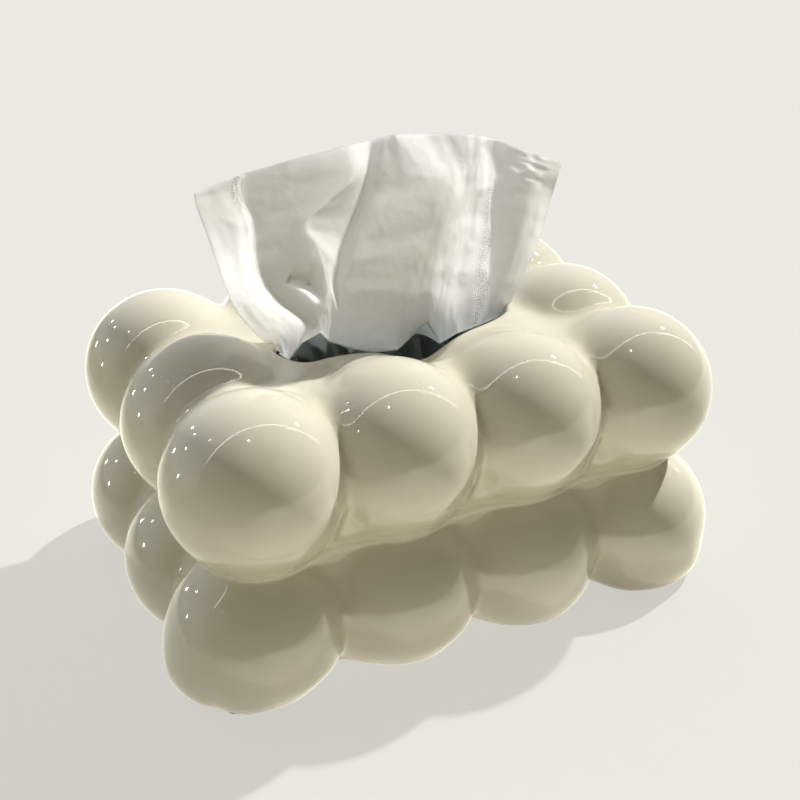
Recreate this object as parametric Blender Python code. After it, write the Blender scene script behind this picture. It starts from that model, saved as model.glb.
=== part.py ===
"""Bubble tissue box cover.

A slip-cast ceramic shell, open below, with two stacked rings of round bubbles, stands over a soft pack of
interfolded tissues. One tissue is drawn up through the oval mouth in the top plate.
Metres, +Z up, +X along the length. The origin is on the table, under the middle of the cover.
"""

import math

import bmesh
import bpy
import numpy as np

MM = 0.001

# Gap kept where one piece rests on another.
SEAT_GAP = 0.3 * MM

# Anti-slip pads under the corners of the foot.
PAD_DIAMETER = 6.0 * MM
PAD_THICKNESS = 1.2 * MM
PAD_EDGE = 0.3 * MM
PAD_SIDES = 20

# Bubbles: how many stand along the length and the width, their size, and the pitch of each ring.
# The lower ring is set out a little, so the body widens towards its foot.
COLUMNS = 4
ROWS = 3
BUBBLE_RADIUS = 30.5 * MM
UPPER_PITCH_X = 50.0 * MM
UPPER_PITCH_Y = 45.0 * MM
LOWER_PITCH_X = 52.0 * MM
LOWER_PITCH_Y = 48.0 * MM
LAYER_PITCH = 55.0 * MM
LOWER_CENTRE_HEIGHT = 18.5 * MM
CREASE_SOFTNESS = 1.8 * MM

# Core: the plain rounded block that the bubbles grow out of. Its hollow fits over the pack, and its
# top is the plate round the mouth.
PACK_CLEARANCE = 2.8 * MM
CORE_EDGE_RADIUS = 12.0 * MM
PLATE_ABOVE_CENTRES = 20.5 * MM

# Shell.
WALL = 5.5 * MM
FOOT_EDGE = 1.2 * MM
MOUTH_LENGTH = 96.0 * MM
MOUTH_WIDTH = 34.0 * MM

# One tissue laid flat, its width along X. In the stack it is folded in half across its length.
TISSUE_WIDTH = 150.0 * MM
TISSUE_LENGTH = 180.0 * MM

# Partly used soft pack: the stack, the film round it, and the oval window torn in the film's top.
STACK_HEIGHT = 40.0 * MM
STACK_EDGE_RADIUS = 4.0 * MM
EDGE_STEPS = 3
FILM_THICKNESS = 0.4 * MM
WINDOW_CLEARANCE = 4.0 * MM
WINDOW_SIDES = 40

# The drawn tissue: a gathered neck from the stack to the mouth, and a fan above it.
SHEET_THICKNESS = 0.8 * MM
SHEET_BASE_WIDTH = 76.0 * MM
SHEET_MOUTH_CLEARANCE = 5.0 * MM
SHEET_TOP_WIDTH = 143.0 * MM
SHEET_ABOVE_PLATE = 72.5 * MM
SHEET_CORNER_DROP = 14.5 * MM
SHEET_TILT = 4.0 * MM
SHEET_FLARE_POWER = 0.55
SHEET_FOLDS = 4
SHEET_COLUMNS = 32
SHEET_ROWS = 16

# How finely the shell is cut into facets: its sections, and the rows round each section.
HALVINGS = 40
SMOOTH_ANGLE = math.radians(40)
STEPS_PER_HALF_BUBBLE = 4
STEPS_PER_CORNER = 6
LOWER_ANGLES = (-30, -15, 0, 15, 30, 45, 58)
UPPER_ANGLES = (-58, -45, -30, -15)
OVER_ANGLES = (0, 15, 30, 45, 60, 75, 90)
TOP_SHARES = (0.14, 0.28, 0.42, 0.56, 0.70, 0.85, 1.0)
INNER_LOWER_ANGLES = (-25, 0, 25, 50)
INNER_UPPER_ANGLES = (-50, -25)
INNER_OVER_ANGLES = (0, 30, 60, 90)
INNER_TOP_SHARES = (0.33, 0.66, 1.0)
LIP_ANGLES = (60, 30, 0, -30, -60)

# Sizes and heights that several pieces share.
STACK_SIZE = (TISSUE_WIDTH, TISSUE_LENGTH / 2, STACK_HEIGHT)
FOOT_HEIGHT = PAD_THICKNESS + SEAT_GAP
LOWER_CENTRE_Z = FOOT_HEIGHT + LOWER_CENTRE_HEIGHT
UPPER_CENTRE_Z = LOWER_CENTRE_Z + LAYER_PITCH
CREASE_Z = (LOWER_CENTRE_Z + UPPER_CENTRE_Z) / 2
PLATE_Z = UPPER_CENTRE_Z + PLATE_ABOVE_CENTRES
STACK_BOTTOM_Z = FILM_THICKNESS + SEAT_GAP
STACK_TOP_Z = STACK_BOTTOM_Z + STACK_HEIGHT


# Scene and materials

def clear_scene():
    for obj in list(bpy.data.objects):
        bpy.data.objects.remove(obj, do_unlink=True)


def make_material(name, colour, roughness, metallic=0.0):
    material = bpy.data.materials.new(name)
    material.use_nodes = True
    shader = material.node_tree.nodes["Principled BSDF"]
    shader.inputs["Base Color"].default_value = (*colour, 1.0)
    shader.inputs["Roughness"].default_value = roughness
    shader.inputs["Metallic"].default_value = metallic
    return material


def add_object(name, mesh, material=None):
    obj = bpy.data.objects.new(name, mesh)
    bpy.context.scene.collection.objects.link(obj)
    if material:
        mesh.materials.append(material)
    mesh.shade_smooth()
    mesh.set_sharp_from_angle(angle=SMOOTH_ANGLE)
    return obj


def mesh_from(work, name):
    """A new mesh that takes over a bmesh's shape."""
    mesh = bpy.data.meshes.new(name)
    work.to_mesh(mesh)
    work.free()
    return mesh


def cut_away(obj, cutter):
    cutter.hide_render = True
    cutter.display_type = "WIRE"
    modifier = obj.modifiers.new(cutter.name, "BOOLEAN")
    modifier.operation = "DIFFERENCE"
    modifier.object = cutter


# Ceramic body as one soft-edged volume

def ring_share(z):
    """0 at the height of the lower bubbles' centres, 1 at the upper ones'."""
    return np.clip((z - LOWER_CENTRE_Z) / LAYER_PITCH, 0.0, 1.0)


def pitch_at(z):
    """Bubble pitch along X and Y at a height: the body widens a little towards its foot."""
    share = ring_share(z)
    return (
        LOWER_PITCH_X + (UPPER_PITCH_X - LOWER_PITCH_X) * share,
        LOWER_PITCH_Y + (UPPER_PITCH_Y - LOWER_PITCH_Y) * share,
    )


def bubble_places():
    """Column and row of every bubble of one ring, counted from the middle."""
    last_column, last_row = (COLUMNS - 1) / 2, (ROWS - 1) / 2
    return [
        (column - last_column, row - last_row)
        for column in range(COLUMNS)
        for row in range(ROWS)
        if column in (0, COLUMNS - 1) or row in (0, ROWS - 1)
    ]


def core_distance(points):
    """Signed distance to the rounded block, negative inside. It has no underside: the foot is cut flat."""
    pitch_x, pitch_y = pitch_at(points[:, 2])
    round_pack = SEAT_GAP + FILM_THICKNESS + PACK_CLEARANCE + WALL
    half_x = STACK_SIZE[0] / 2 + round_pack + (COLUMNS - 1) / 2 * (pitch_x - UPPER_PITCH_X)
    half_y = STACK_SIZE[1] / 2 + round_pack + (ROWS - 1) / 2 * (pitch_y - UPPER_PITCH_Y)
    past = np.stack(
        [
            np.abs(points[:, 0]) - half_x + CORE_EDGE_RADIUS,
            np.abs(points[:, 1]) - half_y + CORE_EDGE_RADIUS,
            points[:, 2] - PLATE_Z + CORE_EDGE_RADIUS,
        ],
        axis=1,
    )
    outside = np.linalg.norm(np.maximum(past, 0.0), axis=1)
    return outside + np.minimum(past.max(axis=1), 0.0) - CORE_EDGE_RADIUS


def body_distance(points):
    """Distance to the whole body: the bubbles and the core run into each other in soft creases."""
    fields = [core_distance(points)]
    for centre_z in (LOWER_CENTRE_Z, UPPER_CENTRE_Z):
        pitch_x, pitch_y = pitch_at(centre_z)
        for column, row in bubble_places():
            centre = np.array([column * pitch_x, row * pitch_y, centre_z])
            fields.append(np.linalg.norm(points - centre, axis=1) - BUBBLE_RADIUS)
    fields = np.array(fields)
    nearest = fields.min(axis=0)
    return nearest - CREASE_SOFTNESS * np.log(
        np.exp((nearest - fields) / CREASE_SOFTNESS).sum(axis=0)
    )


def surface_points(starts, directions, depth):
    """Where rays that start inside the body come to within depth of its outside."""
    near = np.zeros(len(starts))
    far = np.full(len(starts), 4 * BUBBLE_RADIUS)
    for _ in range(HALVINGS):
        middle = (near + far) / 2
        inside = body_distance(starts + directions * middle[:, None]) < -depth
        near = np.where(inside, middle, near)
        far = np.where(inside, far, middle)
    return starts + directions * near[:, None]


# Shell, as one section swept round the body

def side_shares(pitch):
    """Places between two neighbouring bubbles, in pitches, closer together towards the crease."""
    widest = math.asin(min(1.0, pitch / 2 / BUBBLE_RADIUS))
    half = [
        math.sin(widest * step / STEPS_PER_HALF_BUBBLE) * BUBBLE_RADIUS / pitch
        for step in range(STEPS_PER_HALF_BUBBLE)
    ]
    return [*half, 0.5, *(1 - share for share in reversed(half[1:]))]


def stations():
    """Once round the ring, counterclockwise: (column, row, outward x, outward y) of each section."""
    last_column, last_row = (COLUMNS - 1) / 2, (ROWS - 1) / 2
    sides = (
        ((-last_column, -last_row), (1, 0), COLUMNS - 1, UPPER_PITCH_X),
        ((last_column, -last_row), (0, 1), ROWS - 1, UPPER_PITCH_Y),
        ((last_column, last_row), (-1, 0), COLUMNS - 1, UPPER_PITCH_X),
        ((-last_column, last_row), (0, -1), ROWS - 1, UPPER_PITCH_Y),
    )
    found = []
    for (column, row), (along_x, along_y), gaps, pitch in sides:
        out_x, out_y = along_y, -along_x
        for gap in range(gaps):
            for share in side_shares(pitch):
                at = gap + share
                found.append((column + along_x * at, row + along_y * at, out_x, out_y))
        for step in range(STEPS_PER_CORNER):
            turn = math.pi / 2 * step / STEPS_PER_CORNER
            found.append(
                (
                    column + along_x * gaps,
                    row + along_y * gaps,
                    out_x * math.cos(turn) + along_x * math.sin(turn),
                    out_y * math.cos(turn) + along_y * math.sin(turn),
                )
            )
    return np.array(found)


def bases(ring, z):
    """Plan points of the stations on the line through the centres of the bubbles at a height."""
    upper = np.sign(z - CREASE_Z) / 2 + 0.5
    pitch_x, pitch_y = pitch_at(LOWER_CENTRE_Z + LAYER_PITCH * upper)
    return np.stack([ring[:, 0] * pitch_x, ring[:, 1] * pitch_y], axis=1)


def level_row(ring, z, depth):
    """The outline of the body at one height: rays run level, outward through the stations."""
    out = ring[:, 2:]
    plan = bases(ring, z) - out * CORE_EDGE_RADIUS
    starts = np.column_stack([plan, np.full(len(ring), z)])
    directions = np.column_stack([out, np.zeros(len(ring))])
    return surface_points(starts, directions, depth)


def over_row(ring, angle, depth):
    """A row over the upper bubbles: rays rise at an angle from the line through their centres."""
    rise = math.radians(angle)
    starts = np.column_stack([bases(ring, UPPER_CENTRE_Z), np.full(len(ring), UPPER_CENTRE_Z)])
    directions = np.column_stack([ring[:, 2:] * math.cos(rise), np.full(len(ring), math.sin(rise))])
    return surface_points(starts, directions, depth)


def mouth_edge(ring):
    """Plan points of the stations on the mouth's outline, and the directions towards its middle."""
    half_x = (COLUMNS - 1) / 2 * UPPER_PITCH_X + BUBBLE_RADIUS
    half_y = (ROWS - 1) / 2 * UPPER_PITCH_Y + BUBBLE_RADIUS
    wide = bases(ring, UPPER_CENTRE_Z) + ring[:, 2:] * BUBBLE_RADIUS
    turn = np.arctan2(wide[:, 1] / half_y, wide[:, 0] / half_x)
    edge = np.stack([np.cos(turn) * MOUTH_LENGTH, np.sin(turn) * MOUTH_WIDTH], axis=1) / 2
    inward = -np.stack([np.cos(turn) / MOUTH_LENGTH, np.sin(turn) / MOUTH_WIDTH], axis=1)
    return edge, inward / np.linalg.norm(inward, axis=1)[:, None]


def top_row(ring, share, depth):
    """A row across the top, between the bubble centres (share 0) and the mouth's lip (share 1)."""
    edge, inward = mouth_edge(ring)
    lip = edge - inward * WALL / 2
    start = bases(ring, UPPER_CENTRE_Z)
    plan = start + (lip - start) * share
    starts = np.column_stack([plan, np.full(len(ring), UPPER_CENTRE_Z)])
    directions = np.tile([0.0, 0.0, 1.0], (len(ring), 1))
    return surface_points(starts, directions, depth)


def lip_rows(ring, top, bottom):
    """The rounded lip of the mouth, from the top face to the underside of the plate."""
    _, inward = mouth_edge(ring)
    middle, half = (top + bottom) / 2, (top - bottom)[:, 2:] / 2
    rows = []
    for angle in map(math.radians, LIP_ANGLES):
        reach = np.column_stack([inward, np.zeros(len(ring))]) * math.cos(angle) * WALL / 2
        rise = np.column_stack([np.zeros((len(ring), 2)), half * math.sin(angle)])
        rows.append(middle + reach + rise)
    return rows


def foot_row(ring):
    """The outer edge of the flat foot, drawn in by the rounding of the foot."""
    row = level_row(ring, FOOT_HEIGHT, 0.0)
    row[:, :2] -= ring[:, 2:] * FOOT_EDGE
    return row


def heights(centre_z, radius, angles):
    """Heights on a bubble at angles up from its middle."""
    return [centre_z + radius * math.sin(math.radians(angle)) for angle in angles]


def shell_rows():
    """The section's rows, from the foot up the outside, over the lip and down the inside."""
    ring = stations()
    lower = heights(LOWER_CENTRE_Z, BUBBLE_RADIUS, LOWER_ANGLES)
    upper = heights(UPPER_CENTRE_Z, BUBBLE_RADIUS, UPPER_ANGLES)
    outer = [foot_row(ring)]
    outer += [level_row(ring, z, 0.0) for z in (FOOT_HEIGHT + FOOT_EDGE, *lower, CREASE_Z, *upper)]
    outer += [over_row(ring, angle, 0.0) for angle in OVER_ANGLES]
    outer += [top_row(ring, share, 0.0) for share in TOP_SHARES]
    lower = heights(LOWER_CENTRE_Z, BUBBLE_RADIUS - WALL, INNER_LOWER_ANGLES)
    upper = heights(UPPER_CENTRE_Z, BUBBLE_RADIUS - WALL, INNER_UPPER_ANGLES)
    inner = [level_row(ring, z, WALL) for z in (FOOT_HEIGHT, *lower, CREASE_Z, *upper)]
    inner += [over_row(ring, angle, WALL) for angle in INNER_OVER_ANGLES]
    inner += [top_row(ring, share, WALL) for share in INNER_TOP_SHARES]
    return outer + lip_rows(ring, outer[-1], inner[-1]) + inner[::-1]


def make_cover(material):
    """The ceramic shell: the section's rows, joined into one closed skin."""
    grid = np.array(shell_rows())
    rows, columns = grid.shape[:2]
    quads = [
        (
            row * columns + column,
            row * columns + (column + 1) % columns,
            (row + 1) % rows * columns + (column + 1) % columns,
            (row + 1) % rows * columns + column,
        )
        for row in range(rows)
        for column in range(columns)
    ]
    mesh = bpy.data.meshes.new("bubble_cover")
    mesh.from_pydata(grid.reshape(-1, 3).tolist(), [], quads)
    work = bmesh.new()
    work.from_mesh(mesh)
    bmesh.ops.remove_doubles(work, verts=work.verts, dist=SEAT_GAP / 100)
    work.to_mesh(mesh)
    work.free()
    add_object("bubble_cover", mesh, material)


# Pads

def make_pad(name, material):
    """A round pad with softened rims, standing on the table."""
    work = bmesh.new()
    bmesh.ops.create_cone(
        work,
        cap_ends=True,
        segments=PAD_SIDES,
        radius1=PAD_DIAMETER / 2,
        radius2=PAD_DIAMETER / 2,
        depth=PAD_THICKNESS,
    )
    rims = [edge for edge in work.edges if edge.verts[0].co.z * edge.verts[1].co.z > 0]
    bmesh.ops.bevel(work, geom=rims, offset=PAD_EDGE, segments=2, profile=0.5, affect="EDGES")
    bmesh.ops.translate(work, vec=(0, 0, PAD_THICKNESS / 2), verts=work.verts)
    return add_object(name, mesh_from(work, name), material)


def foot_radius(radius):
    """Radius of the circle that the foot's flat cut leaves on a ball round a lower bubble's centre."""
    return math.sqrt(max(0.0, radius**2 - LOWER_CENTRE_HEIGHT**2))


def make_pads(material):
    """Four pads, each in the middle of the flat foot of a corner bubble."""
    middle = (foot_radius(BUBBLE_RADIUS) - FOOT_EDGE + foot_radius(BUBBLE_RADIUS - WALL)) / 2
    diagonal = middle * math.sqrt(0.5)
    corner_x = (COLUMNS - 1) / 2 * LOWER_PITCH_X + diagonal
    corner_y = (ROWS - 1) / 2 * LOWER_PITCH_Y + diagonal
    for end, side_x in (("left", -1), ("right", 1)):
        for side, side_y in (("front", -1), ("back", 1)):
            pad = make_pad(f"anti_slip_pad_{side}_{end}", material)
            pad.location = (side_x * corner_x, side_y * corner_y, 0)


# Pack

def stack_block(name, around, material=None):
    """A block with rounded edges, larger than the stack of tissues by a distance all round."""
    work = bmesh.new()
    bmesh.ops.create_cube(work, size=1.0)
    bmesh.ops.scale(work, vec=[length + 2 * around for length in STACK_SIZE], verts=work.verts)
    bmesh.ops.bevel(
        work,
        geom=work.edges,
        offset=STACK_EDGE_RADIUS + around,
        segments=EDGE_STEPS,
        profile=0.5,
        affect="EDGES",
    )
    block = add_object(name, mesh_from(work, name), material)
    block.location.z = (STACK_BOTTOM_Z + STACK_TOP_Z) / 2
    return block


def make_window_cutter():
    """An upright oval prism through the film's top, clear of the gathered tissue's corners."""
    length = SHEET_BASE_WIDTH * math.sqrt(2) + 2 * WINDOW_CLEARANCE
    depth = 2 * fold_depth(SHEET_BASE_WIDTH) + SHEET_THICKNESS
    width = depth * math.sqrt(2) + 2 * WINDOW_CLEARANCE
    work = bmesh.new()
    bmesh.ops.create_cone(
        work, cap_ends=True, segments=WINDOW_SIDES, radius1=0.5, radius2=0.5, depth=1.0
    )
    bmesh.ops.scale(work, vec=(length, width, 2 * STACK_EDGE_RADIUS), verts=work.verts)
    cutter = add_object("film_window", mesh_from(work, "film_window"))
    cutter.location.z = STACK_TOP_Z
    return cutter


def make_pack(film_material, paper_material):
    """The stack of folded tissues, and the film round it with the window torn in its top."""
    stack_block("tissue_stack", 0.0, paper_material)
    film = stack_block("pack_film", SEAT_GAP + FILM_THICKNESS, film_material)
    cut_away(film, stack_block("film_inside", SEAT_GAP))
    cut_away(film, make_window_cutter())


# Drawn tissue

def fold_depth(width):
    """Depth of the folds that take up the tissue's whole width where it is gathered to a width."""
    return width / (math.pi * SHEET_FOLDS) * math.sqrt(max(0.0, TISSUE_WIDTH / width - 1))


def sheet_point(across, up):
    """A point of the sheet: across from -1 at its left edge to 1, up from 0 at the stack to 1."""
    base = STACK_TOP_Z + SEAT_GAP
    z = base + (PLATE_Z + SHEET_ABOVE_PLATE - base) * up
    neck = min(1.0, (z - base) / (PLATE_Z - base))
    fan = max(0.0, (z - PLATE_Z) / SHEET_ABOVE_PLATE)
    neck_width = MOUTH_LENGTH - 2 * SHEET_MOUTH_CLEARANCE
    width = SHEET_BASE_WIDTH + (neck_width - SHEET_BASE_WIDTH) * neck
    width += (SHEET_TOP_WIDTH - neck_width) * fan**SHEET_FLARE_POWER
    y = fold_depth(width) * math.cos(math.pi * SHEET_FOLDS * across)
    return width / 2 * across, y, z - (SHEET_CORNER_DROP * across**2 + SHEET_TILT * across) * fan


def make_sheet(material):
    """The tissue drawn through the mouth: gathered in the mouth, spread into a fan above it."""
    width = SHEET_COLUMNS + 1
    points = [
        sheet_point(2 * column / SHEET_COLUMNS - 1, row / SHEET_ROWS)
        for row in range(SHEET_ROWS + 1)
        for column in range(width)
    ]
    quads = [
        (start, start + 1, start + width + 1, start + width)
        for row in range(SHEET_ROWS)
        for start in range(row * width, row * width + SHEET_COLUMNS)
    ]
    mesh = bpy.data.meshes.new("drawn_tissue")
    mesh.from_pydata(points, [], quads)
    sheet = add_object("drawn_tissue", mesh, material)
    solidify = sheet.modifiers.new("thickness", "SOLIDIFY")
    solidify.thickness = SHEET_THICKNESS
    solidify.offset = 0.0


def main():
    clear_scene()
    glaze = make_material("cream_glaze", (0.80, 0.76, 0.63), 0.08)
    rubber = make_material("clear_silicone", (0.62, 0.62, 0.58), 0.45)
    film = make_material("pack_film", (0.13, 0.17, 0.19), 0.25)
    paper = make_material("tissue_paper", (0.92, 0.92, 0.90), 0.95)
    make_cover(glaze)
    make_pads(rubber)
    make_pack(film, paper)
    make_sheet(paper)


main()
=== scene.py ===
"""Looks of the bubble tissue box cover: glazed ceramic shell, soft pack and drawn tissue."""

import math

import bpy
import numpy as np
from mathutils import Matrix, Vector, noise


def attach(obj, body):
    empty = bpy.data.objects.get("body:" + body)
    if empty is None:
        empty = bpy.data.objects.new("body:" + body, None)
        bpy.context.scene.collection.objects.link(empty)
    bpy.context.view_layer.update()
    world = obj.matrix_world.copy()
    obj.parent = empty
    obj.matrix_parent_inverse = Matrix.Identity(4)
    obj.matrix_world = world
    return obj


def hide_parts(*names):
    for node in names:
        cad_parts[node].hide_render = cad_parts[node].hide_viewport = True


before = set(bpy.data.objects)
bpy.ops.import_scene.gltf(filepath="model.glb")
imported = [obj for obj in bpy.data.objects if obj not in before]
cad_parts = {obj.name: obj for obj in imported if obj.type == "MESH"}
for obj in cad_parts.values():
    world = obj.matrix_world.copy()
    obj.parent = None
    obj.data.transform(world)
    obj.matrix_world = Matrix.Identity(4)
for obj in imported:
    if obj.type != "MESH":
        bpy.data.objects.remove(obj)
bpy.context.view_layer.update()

MM = 0.001
SEED = 7

# ---- Ceramic body: the same soft-edged volume as the solid, in millimetres
COLUMNS, ROWS = 4, 3
RADIUS = 30.5
UPPER_PITCH, LOWER_PITCH = (50.0, 45.0), (52.0, 48.0)
LAYER_PITCH = 55.0
LOWER_Z, UPPER_Z, CREASE_Z, PLATE_Z = 20.0, 75.0, 47.5, 95.5
LAST_COLUMN, LAST_ROW = (COLUMNS - 1) / 2, (ROWS - 1) / 2  # counted from the middle
CORE_HALF = (84.0, 54.0)
CORE_EDGE = 12.0
SOFTNESS = 1.8
WALL = 5.5
FOOT_Z, FOOT_EDGE = 1.5, 1.2
FOOT_SHARES = (0.66, 0.33)  # rows between the outer and the inner edge of the flat foot
CREASE_GAP = 0.4
MOUTH = (96.0, 34.0)
MOUTH_RIGHT = 0.95
CENTRE_SPREAD, CENTRE_LIMIT = 0.35, 0.6
RADIUS_SPREAD, RADIUS_LIMIT = 0.22, 0.4

# The lip: its swell, its dip between the middle bubbles and the smaller one at its left corner,
# and (where it starts, how wide it is) of the fades that keep these near the mouth
LIP_RISE, LIP_DIP, DIP_HALF = 2.0, 4.6, 12.5
CORNER_DIP, CORNER_DIP_AT, CORNER_DIP_HALF = 2.3, -42.0, 7.5
CORNER_FADE = (2.0, 8.0)
LIP_FADE_X, LIP_FADE_Y, LIP_FADE_Z = (38.0, 18.0), (21.0, 12.0), (74.0, 12.0)
# Painted shade: the inside's darker grey starts this far below the plate's top
LIP_SHADE = 2.5  # how far below the plate's top the dark inside begins, and over what height

# Belts that fill the valleys between the bubbles beside the crease: half the size in plan, the
# height where the belt starts, how far it rises and leans inwards, and the radius of its section
BELTS = (
    ((82.0, 52.0), 58.0, 0.0, 0.0, 9.0),
    ((87.5, 57.0), 25.0, 16.0, 7.5, 8.5),
)
BELT_CORNER = 14.0

# How far the foot of a front bubble stands out from its ball: column and row, the height where
# that ends, and (angle in plan, millimetres) pairs
FOOT_SHIFTS = (
    (-1.5, -1.0, 30.0, ((100, 0.0), (135, 1.6), (160, 3.4), (180, 4.0), (198, 2.4), (216, 0.0))),
    (-1.5, -1.0, 14.0, ((242, 0.0), (266, -1.5), (300, -1.7), (325, 0.0))),
    (-0.5, -1.0, 14.0, ((212, 0.0), (232, -1.5), (308, -1.5), (328, 0.0))),
    (0.5, -1.0, 14.0, ((296, 0.0), (326, 1.4), (344, 0.0))),
    (1.5, -1.0, 18.0, ((196, 0.0), (214, 1.6), (235, 3.2), (300, 3.0), (340, 1.8), (390, 0.0))),
)
FOOT_LOW, FOOT_FADE = 2.0, 6.0

# Steps of the shell's mesh: along a bubble and round a corner in plan, and over the plate; the
# angles, as (first, end, step), of its rows on the lower and upper bubbles and round the lip
BUBBLE_STEPS, CORNER_STEPS, PLATE_STEPS = 14, 22, 26
LOWER_ANGLES, UPPER_ANGLES = (-34.5, 62.0, 3.0), (-62.0, -1.0, 3.0)
LIP_ANGLES = (78.0, -79.0, -12.0)
SEARCH_STEPS, SEARCH_REACH = 26, 4 * RADIUS

# ---- Camera: fitted to the outlines of eleven bubbles
LENS, SENSOR = 52.687, 36.0
CAMERA_AT = (-0.18189, -0.35002, 0.27612)
CAMERA_RIGHT = (0.88806, -0.45962, 0.00968)
CAMERA_DOWN = (-0.20905, -0.4225, -0.88192)
CAMERA_FORWARD = (0.40944, 0.78118, -0.47129)


def bearing(azimuth, elevation):
    """Direction for an azimuth from +Y towards +X and an elevation, in degrees."""
    a, e = math.radians(azimuth), math.radians(elevation)
    return Vector((math.sin(a) * math.cos(e), math.cos(a) * math.cos(e), math.sin(e)))


def soft_step(values):
    t = np.clip(values, 0.0, 1.0)
    return t * t * (3 - 2 * t)


# ---- Nodes

class Nodes:
    """Short way to build one material's nodes."""

    def __init__(self, name):
        self.material = bpy.data.materials.new(name)
        self.material.use_nodes = True
        self.tree = self.material.node_tree
        self.shader = self.tree.nodes["Principled BSDF"]
        self.output = self.tree.nodes["Material Output"]

    def add(self, kind, **settings):
        node = self.tree.nodes.new("ShaderNode" + kind)
        for key, value in settings.items():
            setattr(node, key, value)
        return node

    def put(self, target, value):
        if isinstance(value, bpy.types.NodeSocket):
            self.tree.links.new(value, target)
        elif value is not None:
            target.default_value = (*value, 1.0) if isinstance(value, tuple) else value

    def math(self, operation, a, b=None, c=None, clamp=False):
        node = self.add("Math", operation=operation, use_clamp=clamp)
        for target, value in zip(node.inputs, (a, b, c)):
            self.put(target, value)
        return node.outputs[0]

    def where(self):
        if not hasattr(self, "_where"):
            self._where = self.add("TexCoord").outputs["Object"]
        return self._where

    def attribute(self, name):
        return self.add("Attribute", attribute_name=name).outputs["Fac"]

    def noise(self, scale, detail=2.0, rough=0.5, distortion=0.0):
        node = self.add("TexNoise")
        self.put(node.inputs["Vector"], self.where())
        node.inputs["Scale"].default_value = scale
        node.inputs["Detail"].default_value = detail
        node.inputs["Roughness"].default_value = rough
        node.inputs["Distortion"].default_value = distortion
        return node.outputs["Fac"]

    def cells(self, scale, feature="F1", output="Distance", randomness=1.0):
        node = self.add("TexVoronoi", feature=feature)
        self.put(node.inputs["Vector"], self.where())
        node.inputs["Scale"].default_value = scale
        node.inputs["Randomness"].default_value = randomness
        return node.outputs[output]

    def span(self, value, low, high, to_low=0.0, to_high=1.0):
        node = self.add("MapRange", clamp=True)
        self.put(node.inputs["Value"], value)
        limits = {"From Min": low, "From Max": high, "To Min": to_low, "To Max": to_high}
        for key, number in limits.items():
            node.inputs[key].default_value = number
        return node.outputs["Result"]

    def mix(self, share, a, b):
        node = self.add("Mix", data_type="RGBA")
        self.put(node.inputs["Factor"], share)
        for name, value in (("A", a), ("B", b)):
            target = next(s for s in node.inputs if s.name == name and s.type == "RGBA")
            self.put(target, value)
        return next(s for s in node.outputs if s.type == "RGBA")

    def bump(self, height, distance, strength=1.0, under=None):
        node = self.add("Bump")
        node.inputs["Strength"].default_value = strength
        node.inputs["Distance"].default_value = distance
        self.put(node.inputs["Height"], height)
        self.put(node.inputs["Normal"], under)
        return node.outputs["Normal"]

    def matt(self, colour):
        node = self.add("BsdfDiffuse")
        self.put(node.inputs["Color"], colour)
        return node.outputs[0]

    def glow(self, colour, strength):
        node = self.add("Emission")
        self.put(node.inputs["Color"], colour)
        self.put(node.inputs["Strength"], strength)
        return node.outputs[0]

    def sum_of(self, first, second):
        node = self.add("AddShader")
        self.put(node.inputs[0], first)
        self.put(node.inputs[1], second)
        return node.outputs[0]

    def blend(self, share, first, second):
        node = self.add("MixShader")
        for target, value in zip(node.inputs, (share, first, second)):
            self.put(target, value)
        return node.outputs[0]

    def set(self, **values):
        for key, value in values.items():
            self.put(self.shader.inputs[key.replace("_", " ")], value)


def glaze_material():
    """Cream glaze, pooled in the creases and thin over the crowns, with painted shade inside; bare clay on
    the foot.
    """
    n = Nodes("cream_glaze")
    crease, bare, inside = (n.attribute(name) for name in ("crease", "bare", "inside"))
    cloud = n.noise(14.0, 3.0, 0.55)
    colour = n.mix(n.span(cloud, 0.35, 0.7), (0.785, 0.745, 0.600), (0.825, 0.790, 0.655))
    colour = n.mix(n.math("MULTIPLY", crease, 0.5), colour, (0.700, 0.665, 0.480))
    # Painted shade: inside the shell and under the lip the glaze turns a darker, cooler grey
    colour = n.mix(n.math("MULTIPLY", inside, 0.9), colour, (0.60, 0.63, 0.62))
    grain = n.cells(900.0, output="Color")
    clay = n.mix(n.math("MULTIPLY", grain, 0.5), (0.62, 0.56, 0.45), (0.72, 0.67, 0.57))
    colour = n.mix(bare, colour, clay)
    pits = n.cells(95.0)
    chosen = n.math("GREATER_THAN", n.noise(60.0, 0.0), 0.60)
    pit = n.math("MULTIPLY", n.span(pits, 0.0, 0.075, 1.0, 0.0), chosen)
    n.set(Base_Color=colour)
    rough = n.span(n.noise(42.0, 4.0, 0.6), 0.3, 0.75, 0.045, 0.085)
    n.set(Roughness=n.math("ADD", rough, n.math("MULTIPLY", bare, 0.7), clamp=True))
    n.set(IOR=1.62)
    glossy = n.math("SUBTRACT", 1.0, bare)
    wave = n.math("MULTIPLY", n.noise(26.0, 1.0, 0.4), glossy)
    normal = n.bump(wave, 0.00045)
    peel = n.math("MULTIPLY", n.noise(420.0, 2.0, 0.5), glossy)
    normal = n.bump(peel, 0.0000045, under=normal)
    normal = n.bump(n.math("MULTIPLY", pit, glossy), -0.00018, under=normal)
    normal = n.bump(n.math("MULTIPLY", n.noise(1500.0, 3.0, 0.7), bare), 0.00012, under=normal)
    n.set(Normal=normal)
    return n.material


def pad_material():
    """Matt, slightly cloudy silicone."""
    n = Nodes("clear_silicone")
    cloud = n.noise(300.0, 3.0)
    n.set(Base_Color=n.mix(cloud, (0.56, 0.56, 0.52), (0.68, 0.68, 0.64)))
    n.set(Roughness=n.span(cloud, 0.3, 0.7, 0.38, 0.55))
    n.set(Normal=n.bump(n.noise(2500.0, 2.0), 0.00003))
    return n.material


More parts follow.
